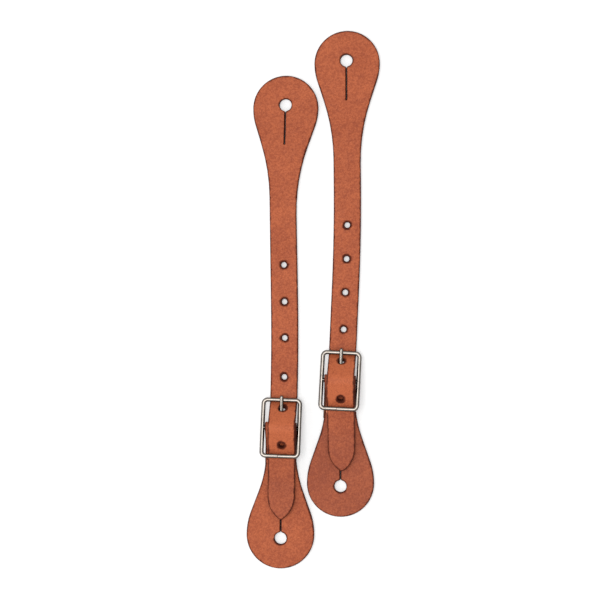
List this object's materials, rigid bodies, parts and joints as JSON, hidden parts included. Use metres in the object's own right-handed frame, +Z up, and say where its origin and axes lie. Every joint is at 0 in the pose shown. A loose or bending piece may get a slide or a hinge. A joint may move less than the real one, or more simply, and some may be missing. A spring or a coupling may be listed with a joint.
{
  "type": "spur straps",
  "caption": "Pair of leather spur straps, each a punched long strap woven through a centre-bar buckle on a short strap, with button-hole paddles at both ends.",
  "frame": {"origin": "on the surface the straps lie on, under the middle of the pair's bounding box", "axes": "+Z up out of the grain side, +Y along the straps towards the long straps' paddles, +X across from the left strap to the right strap"},
  "size_m": [0.0782, 0.3148, 0.0143],
  "materials": {
    "russet_leather": "satin",
    "nickel_plate": "satin",
    "copper": "satin"
  },
  "bodies": {
    "left_strap": {"left_long_strap_body": "russet_leather", "left_short_strap_fold": "russet_leather", "left_rivets": "copper", "left_burrs": "copper"},
    "left_buckle": {"left_buckle_frame": "nickel_plate", "left_centre_bar": "nickel_plate"},
    "left_tongue": {"left_tongue": "nickel_plate"},
    "left_instep_end": {"left_long_strap_paddle": "russet_leather"},
    "left_heel_end": {"left_short_strap_paddle": "russet_leather"},
    "right_strap": {"right_long_strap_body": "russet_leather", "right_short_strap_fold": "russet_leather", "right_rivets": "copper", "right_burrs": "copper"},
    "right_buckle": {"right_buckle_frame": "nickel_plate", "right_centre_bar": "nickel_plate"},
    "right_tongue": {"right_tongue": "nickel_plate"},
    "right_instep_end": {"right_long_strap_paddle": "russet_leather"},
    "right_heel_end": {"right_short_strap_paddle": "russet_leather"}
  },
  "joints": [
    {"name": "left_buckle_rock", "type": "hinge", "parent": "left_strap", "child": "left_buckle", "pos_m": [-0.01844, -0.07461, 0.0076], "axis": [0.9996, -0.0291, 0], "range_deg": [-1, 1]},
    {"name": "left_tongue_lift", "type": "hinge", "parent": "left_buckle", "child": "left_tongue", "pos_m": [-0.01844, -0.07461, 0.0076], "axis": [0.9996, -0.0291, 0], "range_deg": [0, 1.5]},
    {"name": "left_instep_bend", "type": "hinge", "parent": "left_strap", "child": "left_instep_end", "pos_m": [-0.0161, 0.04009, 0.0015], "axis": [1, 0, 0], "range_deg": [-60, 75]},
    {"name": "left_heel_bend", "type": "hinge", "parent": "left_strap", "child": "left_heel_end", "pos_m": [-0.01905, -0.11391, 0.0015], "axis": [1, 0, 0], "range_deg": [0, 50]},
    {"name": "right_buckle_rock", "type": "hinge", "parent": "right_strap", "child": "right_buckle", "pos_m": [0.01612, -0.04691, 0.0076], "axis": [0.999, -0.0447, 0], "range_deg": [-1, 1]},
    {"name": "right_tongue_lift", "type": "hinge", "parent": "right_buckle", "child": "right_tongue", "pos_m": [0.01612, -0.04691, 0.0076], "axis": [0.999, -0.0447, 0], "range_deg": [0, 1.5]},
    {"name": "right_instep_bend", "type": "hinge", "parent": "right_strap", "child": "right_instep_end", "pos_m": [0.01959, 0.06309, 0.0015], "axis": [1, 0, 0], "range_deg": [-60, 75]},
    {"name": "right_heel_bend", "type": "hinge", "parent": "right_strap", "child": "right_heel_end", "pos_m": [0.01612, -0.08591, 0.0015], "axis": [1, 0, 0], "range_deg": [0, 50]},
    {"name": "right_strap_lift", "type": "slide", "parent": "left_strap", "child": "right_strap", "axis": [0, 0, 1], "range_m": [0, 0.05]}
  ]
}
